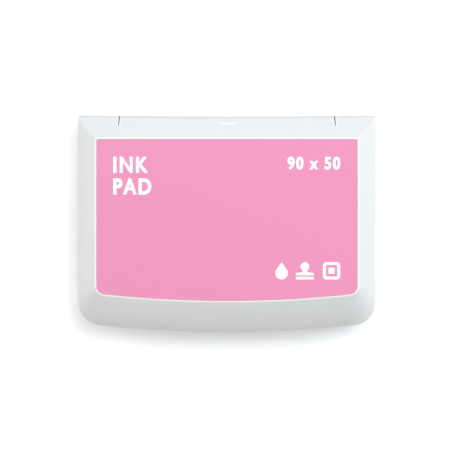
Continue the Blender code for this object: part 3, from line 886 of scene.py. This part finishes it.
def print_shapes(name, shapes, frames, z, thickness):
    """Flat printed shapes: an outline and its foot's place, or a frame's middle, half sizes and stroke."""
    bm = bmesh.new()
    for outline, (x, y) in shapes:
        turned = [(x + dx, y + dy) for dx, dy in outline]
        area = sum(a[0] * b[1] - b[0] * a[1] for a, b in zip(turned, turned[1:] + turned[:1]))
        if area > 0:
            turned.reverse()
        add_loft(bm, [[Vector((px, py, pz)) for px, py in turned] for pz in (z, z + thickness)])
    for (x, y), (half_x, half_y), stroke in frames:
        rings = []
        for within, height in ((0.0, z), (0.0, z + thickness), (stroke, z + thickness), (stroke, z)):
            ring = rounded_rectangle(half_x - within, half_y - within, 1.4 * MM - 0.6 * within, height, y)
            rings.append([point + Vector((x, 0.0, 0.0)) for point in ring])
        add_loft(bm, rings, capped=False)
    return new_object(bm, name)


class INKPAD_OT_label_print(bpy.types.Operator):
    """Prints the generic words, the size of the ink surface and three pictograms on the lid's label"""

    bl_idname = "ink_pad.make_label_print"
    bl_label = "Label print"

    def execute(self, context):
        labels = settings("labels")
        left, right = -45.6 * MM, 45.4 * MM
        top, line = 26.9 * MM, 8.7 * MM
        pieces = [
            printed_words("print_first_word", labels.first_word, labels.large_letter, (left, top)),
            printed_words("print_second_word", labels.second_word, labels.large_letter, (left, top - line)),
            printed_words("print_size_mark", labels.size_mark, labels.small_letter, (right, top), True),
        ]
        tall, foot = 6.9 * MM, -22.3 * MM
        frame_x, half = 41.9 * MM, tall / 2
        shapes = [
            (drop_shape(tall), (21.9 * MM, foot)),
            (stamp_shape(tall), (31.2 * MM, foot)),
            (bar_shape(1.04 * tall, 0.0, 0.15 * tall), (31.2 * MM, foot)),
            (bar_shape(2.4 * MM, half - 1.2 * MM, half + 1.2 * MM), (frame_x, foot)),
        ]
        frames = [((frame_x, foot + half), (half, half), 1.1 * MM)]
        pieces.append(print_shapes("print_pictograms", shapes, frames, label_top(), labels.ink))
        ink = finish_called("white_screen_ink", screen_ink, labels.ink_white)
        for piece in pieces:
            dress(piece, ink, "lid")
        return {"FINISHED"}


# The base.


def ramp_y(z):
    """The y of the base's leaning rear wall, which keeps clear of the lid's rear edge as the lid turns."""
    case = settings("case")
    clear = math.hypot(LID_HIGH.y - HINGE.y, case.skirt_top - HINGE.z) + GAP
    tilt = math.atan((LID_HIGH.z - case.skirt_top) / case.rear_facet)
    return HINGE.y + ((HINGE.z - z) * math.cos(tilt) - clear) / math.sin(tilt)


def base_ring(z, drawn_in, rear):
    outline = inset(case_outline(), drawn_in, 0.0, drawn_in)
    return case_ring(outline._replace(rear=rear, bow=0.0), z)


def base_ring_in(side, rear, drawn_in, z):
    return base_ring(z, side + drawn_in, rear - drawn_in)


def lip_rear():
    return ramp_y(BASE_TOP) - settings("case").overhang


def base_rings():
    """From under the foot, up outside over the lip, and inside down to the floor."""
    case = settings("case")
    foot, wall = case.overhang + case.draft, case.wall
    chamfer, lip_top, edge, lip_edge = 0.8 * MM, 9.6 * MM, 0.2 * MM, 0.25 * MM
    lip = partial(base_ring_in, LIP_IN, lip_rear())
    rings = filleted(partial(base_ring_in, foot, ramp_y(RAMP_FOOT)), 0.0, 0.0, chamfer, 1, 1, 5)[::-1]
    for z in (RAMP_FOOT - 0.5 * MM, RAMP_FOOT, RAMP_FOOT + 0.5 * MM, (RAMP_FOOT + BASE_TOP) / 2):
        rings.append(base_ring(z, foot - case.draft * z / BASE_TOP, ramp_y(max(z, RAMP_FOOT))))
    rings += filleted(partial(base_ring_in, case.overhang, ramp_y(BASE_TOP)), 0.0, BASE_TOP, edge)
    rings += [lip(0.0, BASE_TOP), *filleted(lip, 0.0, lip_top, lip_edge)]
    rings += reversed(filleted(lip, wall, lip_top, lip_edge, -1))
    rings.append(lip(wall, 5.9 * MM))
    rings.append(base_ring(5.3 * MM, 2.4 * MM, ramp_y(5.3 * MM) - wall))
    rings.append(base_ring(RAMP_FOOT, foot + 1.2 * MM, ramp_y(RAMP_FOOT) - wall))
    rings.append(base_ring(wall, foot + wall, ramp_y(RAMP_FOOT) - wall))
    return rings


def hinge_lug(sign):
    """A round-ended arm on the base's rear wall, as high as the hinge."""
    front_y = ramp_y(BASE_TOP) - settings("case").wall
    outline = [(front_y, HINGE.z - LUG_RADIUS)]
    outline += arc_points(HINGE.yz, LUG_RADIUS, -90, 90, ROUND_SIDES // 2)
    outline.append((front_y, HINGE.z + LUG_RADIUS))
    lug = plate_across_x("lug", outline, *[sign * x for x in LUG_X])
    return shaped(soften(lug, 0.12 * MM))


def finger_scoop():
    """A shallow hollow in the base's front wall, for the fingertip that lifts the lid."""
    half_width, depth, foot = 12.0 * MM, 0.9 * MM, 2.3 * MM
    radius = half_width**2 / (2 * depth)
    centre_y = BASE_LOW.y + depth - radius
    rings = []
    for z in (foot, BASE_TOP + MM):
        points = arc_points((0.0, centre_y), radius, 110, 70, 96)
        points += [(points[-1][0], centre_y), (points[0][0], centre_y)]
        rings.append([Vector((x, y, z)) for x, y in points])
    return loft("scoop", rings)


class INKPAD_OT_base(bpy.types.Operator):
    """Makes the base's moulding, with its hinge lugs and pins, catch ridge and finger scoop"""

    bl_idname = "ink_pad.make_base"
    bl_label = "Base moulding"

    def execute(self, context):
        tools = [(hinge_lug(sign), JOIN) for sign in SIDES]
        tools.append((hinge_rods("pins", PIN_X, PIN_RADIUS), JOIN))
        tools.append((catch_strip("ridge", LID_LOW.y + LIP_IN, LID_LOW.z + 0.89 * MM), JOIN))
        tools.append((finger_scoop(), CUT))
        floor = PAPER_HIGH.z + 0.05 * MM
        recess = [rounded_rectangle(40 * MM, 22 * MM, 2 * MM, z) for z in (-MM, floor)]
        tools.append((loft("recess", recess), CUT))
        base = shaped(loft("base_moulding", base_rings()), tools)
        dress(base, case_plastic(), "base", ["base_shell"])
        return {"FINISHED"}


class INKPAD_OT_base_label(bpy.types.Operator):
    """Makes the paper label in the underside, with a plain border, a colour patch and two drops"""

    bl_idname = "ink_pad.make_base_label"
    bl_label = "Base label"

    def execute(self, context):
        labels = settings("labels")
        half_x, half_y = PAPER_HIGH.x, (PAPER_HIGH.y - PAPER_LOW.y) / 2
        rings = [rounded_rectangle(half_x, half_y, 1.7 * MM, z) for z in (PAPER_LOW.z, PAPER_HIGH.z)]
        sheet = loft("base_label_sheet", rings)
        paper = finish_called("coated_label_paper", coated_paper, labels.paper)
        dress(sheet, paper, "base", ["base_label"])

        shapes = [
            (bar_shape(26 * MM, -8 * MM, 8 * MM), (-20 * MM, PAD_Y)),
            (drop_shape(9 * MM), (8 * MM, PAD_Y - 4.5 * MM)),
            (drop_shape(9 * MM), (18 * MM, PAD_Y - 4.5 * MM)),
        ]
        frames = [((0.0, PAD_Y), (half_x - 2.5 * MM, half_y - 2.5 * MM), 0.4 * MM)]
        foot = PAPER_LOW.z - labels.ink
        print_piece = print_shapes("base_label_print", shapes, frames, foot, labels.ink)
        ink = finish_called("pink_screen_ink", screen_ink, labels.film_colour)
        dress(print_piece, ink, "base")
        return {"FINISHED"}


# The pad.


class INKPAD_OT_tray(bpy.types.Operator):
    """Makes the stiff tray that holds the felt"""

    bl_idname = "ink_pad.make_tray"
    bl_label = "Pad tray"

    def execute(self, context):
        half_x, half_y = TRAY_HIGH.x, (TRAY_HIGH.y - TRAY_LOW.y) / 2
        corner, wall, foot_edge, edge = 3.0 * MM, 1.2 * MM, 0.5 * MM, 0.3 * MM
        ring_at = partial(rectangle_in, half_x, half_y, corner)
        rings = filleted(ring_at, 0.0, TRAY_LOW.z, foot_edge, 1, 1)[::-1]
        rings += filleted(ring_at, 0.0, TRAY_HIGH.z, edge)
        rings += reversed(filleted(ring_at, wall, TRAY_HIGH.z, edge, -1))
        rings.append(ring_at(wall, TRAY_LOW.z + wall))
        dress(loft("tray_moulding", rings), inner_plastic(), "base", ["pad_tray"])
        return {"FINISHED"}


def crowned_rings(half_x, half_y, corner, top, crown, edge):
    """Rings over a soft block's top, from its rounded edge to near its middle, which reaches the top."""
    rings = filleted(partial(rectangle_in, half_x, half_y, corner), 0.0, top - crown, edge, steps=6)
    steps = 14
    for step in range(1, steps + 1):
        out = 1 - 0.985 * step / steps
        x, y = (half_x - edge) * out, (half_y - edge) * out
        rise = crown * (1 - out**2)
        rings.append(rounded_rectangle(x, y, (corner - edge) * out, top - crown + rise))
    return rings


class INKPAD_OT_felt(bpy.types.Operator):
    """Makes the felt block that holds the ink"""

    bl_idname = "ink_pad.make_felt"
    bl_label = "Felt block"

    def execute(self, context):
        pad = settings("pad")
        half_x, half_y = FELT_HIGH.x, (FELT_HIGH.y - FELT_LOW.y) / 2
        corner, edge, foot = 2.0 * MM, 0.9 * MM, FELT_LOW.z
        rings = [rectangle_in(half_x, half_y, corner, 0.3 * MM, foot)]
        rings.append(rounded_rectangle(half_x, half_y, corner, foot + 0.5 * MM))
        rings += crowned_rings(half_x, half_y, corner, FELT_HIGH.z, pad.crown, edge)
        felt = loft("felt_block", rings)
        wool = finish_called("ink_soaked_felt", inked_felt, pad.felt_colour)
        dress(felt, wool, "base", ["ink_felt"])
        return {"FINISHED"}


class INKPAD_OT_cloth(bpy.types.Operator):
    """Makes the woven cover that is stretched over the felt"""

    bl_idname = "ink_pad.make_cloth"
    bl_label = "Pad cloth"

    def execute(self, context):
        pad = settings("pad")
        half_x, half_y = CLOTH_HIGH.x, (CLOTH_HIGH.y - CLOTH_LOW.y) / 2
        thick, foot, corner, top = pad.cloth_thickness, CLOTH_LOW.z, 2.7 * MM, CLOTH_HIGH.z
        within_x, within_y, within_corner = half_x - thick, half_y - thick, corner - thick
        outer = crowned_rings(half_x, half_y, corner, top, pad.crown, 1.0 * MM)
        inner = crowned_rings(within_x, within_y, within_corner, top - thick, pad.crown, 0.9 * MM)
        hem = [rectangle_in(half_x, half_y, corner, drawn_in, foot) for drawn_in in (thick, 0.0)]
        cloth = loft("cloth_cover", list(reversed(inner)) + hem + outer)
        poplin = finish_called("ink_soaked_poplin", inked_poplin, pad.cloth_colour, pad.thread)
        dress(cloth, poplin, "base", ["pad_cloth"])
        return {"FINISHED"}


class INKPAD_OT_deck(bpy.types.Operator):
    """Makes the flat surround that fills the base's mouth, with a raised rim around the pad"""

    bl_idname = "ink_pad.make_deck"
    bl_label = "Deck"

    def execute(self, context):
        inside, rear = 3.8 * MM, lip_rear() - settings("case").wall - GAP
        plate_top = DECK_LOW.z + 1.2 * MM
        rings = [base_ring(DECK_LOW.z, inside, rear)]
        rings += filleted(partial(base_ring_in, inside, rear), 0.0, plate_top, 0.2 * MM)
        hole_x, hole_y = CLOTH_HIGH.x + GAP, (CLOTH_HIGH.y - CLOTH_LOW.y) / 2 + GAP
        rim_width = 1.4 * MM
        rim_at = partial(rectangle_in, hole_x + rim_width, hole_y + rim_width, 4 * MM)
        rim = [rim_at(0.0, plate_top - 0.4 * MM), rim_at(0.0, plate_top + 0.1 * MM)]
        rim += filleted(rim_at, 0.0, DECK_HIGH.z, 0.35 * MM)
        hole_at = partial(rectangle_in, hole_x, hole_y, 3 * MM)
        hole = [hole_at(0.0, DECK_LOW.z - MM), *filleted(hole_at, 0.0, DECK_HIGH.z, 0.25 * MM, -1)]
        hole.append(hole_at(-0.3 * MM, DECK_HIGH.z + MM))
        tools = [(loft("rim", rim), JOIN), (loft("hole", hole), CUT)]
        deck = shaped(loft("deck_moulding", rings), tools)
        dress(deck, inner_plastic(), "base", ["pad_frame"])
        return {"FINISHED"}


# The studio.


def soft_light(name, place, width, height, power, hex_colour):
    """A rectangle of light that faces the pad."""
    lamp = bpy.data.lights.new(name, "AREA")
    lamp.shape = "RECTANGLE"
    lamp.size = width
    lamp.size_y = height
    lamp.energy = power
    lamp.color = to_linear(hex_colour)
    light = put(name, lamp)
    light.location = place
    light.rotation_euler = (-Vector(place)).to_track_quat("-Z", "Y").to_euler()


class INKPAD_OT_studio(bpy.types.Operator):
    """Makes the pale floor, the soft light and the camera straight above"""

    bl_idname = "ink_pad.make_studio"
    bl_label = "Studio"

    def execute(self, context):
        scene = context.scene
        studio = settings("studio")
        bm = bmesh.new()
        bmesh.ops.create_grid(bm, x_segments=12, y_segments=12, size=2.0)
        floor = new_object(bm, "studio_floor")
        floor.data.materials.append(finish_called("painted_board", painted_board, studio.floor))

        world = bpy.data.worlds.new("soft_surround")
        world.use_nodes = True
        background = world.node_tree.nodes["Background"]
        background.inputs["Color"].default_value = (*to_linear("#FCFDFC"), 1.0)
        add = partial(add_node, world.node_tree)
        direction = add("TexCoord", output="Generated")
        bright_side = (0.75, 0.0, 0.66)
        slant = add("VectorMath", [direction, bright_side], "Value", operation="DOT_PRODUCT")
        strength = add("MapRange", [slant, -1.0, 1.0, studio.sky_low, studio.sky])
        feed(world.node_tree, background, {"Strength": strength})
        scene.world = world
        soft_light("key_softbox", (0.22, 0.36, 0.86), 0.6, 0.5, studio.key, "#F4F9FF")
        soft_light("rear_strip", (0.05, 0.75, 0.27), 0.7, 0.25, studio.rear, "#E6F0FF")
        soft_light("right_softbox", (0.62, 0.2, 0.52), 0.5, 0.4, studio.right, "#E8F2FF")
        soft_light("right_strip", (0.6, 0.3, 0.2), 0.5, 0.2, studio.right_low, "#E8F2FF")
        soft_light("left_strip", (-0.6, 0.12, 0.2), 0.5, 0.2, studio.left, "#FFFFF8")
        scene.view_settings.view_transform = "Standard"

        camera = put("camera", bpy.data.cameras.new("camera"))
        camera.data.sensor_width = 36.0
        camera.data.lens = 36.0 * studio.distance / studio.view_width
        camera.data.clip_end = 50.0
        edge = settings("case").skirt_top
        camera.location = (-0.4 * MM, -0.9 * MM, edge + studio.distance)
        scene.camera = camera
        return {"FINISHED"}


OPERATORS = (
    INKPAD_OT_base,
    INKPAD_OT_base_label,
    INKPAD_OT_tray,
    INKPAD_OT_felt,
    INKPAD_OT_cloth,
    INKPAD_OT_deck,
    INKPAD_OT_lid,
    INKPAD_OT_label,
    INKPAD_OT_label_print,
    INKPAD_OT_studio,
)
GROUPS = {"case": InkPadCase, "labels": InkPadLabels, "pad": InkPadPad, "studio": InkPadStudio}


class VIEW3D_PT_ink_pad(bpy.types.Panel):
    """Lists the pieces and their settings"""

    bl_label = "Ink pad"
    bl_idname = "VIEW3D_PT_ink_pad"
    bl_space_type = "VIEW_3D"
    bl_region_type = "UI"
    bl_category = "Ink pad"

    def draw(self, context):
        for operator in OPERATORS:
            self.layout.operator(operator.bl_idname)
        for name, group in GROUPS.items():
            column = self.layout.column(heading=name.capitalize())
            for setting in group.__annotations__:
                column.prop(settings(name), setting)


CLASSES = (*GROUPS.values(), *OPERATORS, VIEW3D_PT_ink_pad)


def register():
    for cls in CLASSES:
        bpy.utils.register_class(cls)
    for name, group in GROUPS.items():
        setattr(bpy.types.Scene, "ink_pad_" + name, PointerProperty(type=group))


def unregister():
    for name in GROUPS:
        delattr(bpy.types.Scene, "ink_pad_" + name)
    for cls in reversed(CLASSES):
        bpy.utils.unregister_class(cls)


def main():
    register()
    for operator in OPERATORS:
        getattr(bpy.ops.ink_pad, operator.bl_idname.partition(".")[2])()


if __name__ == "__main__":
    main()
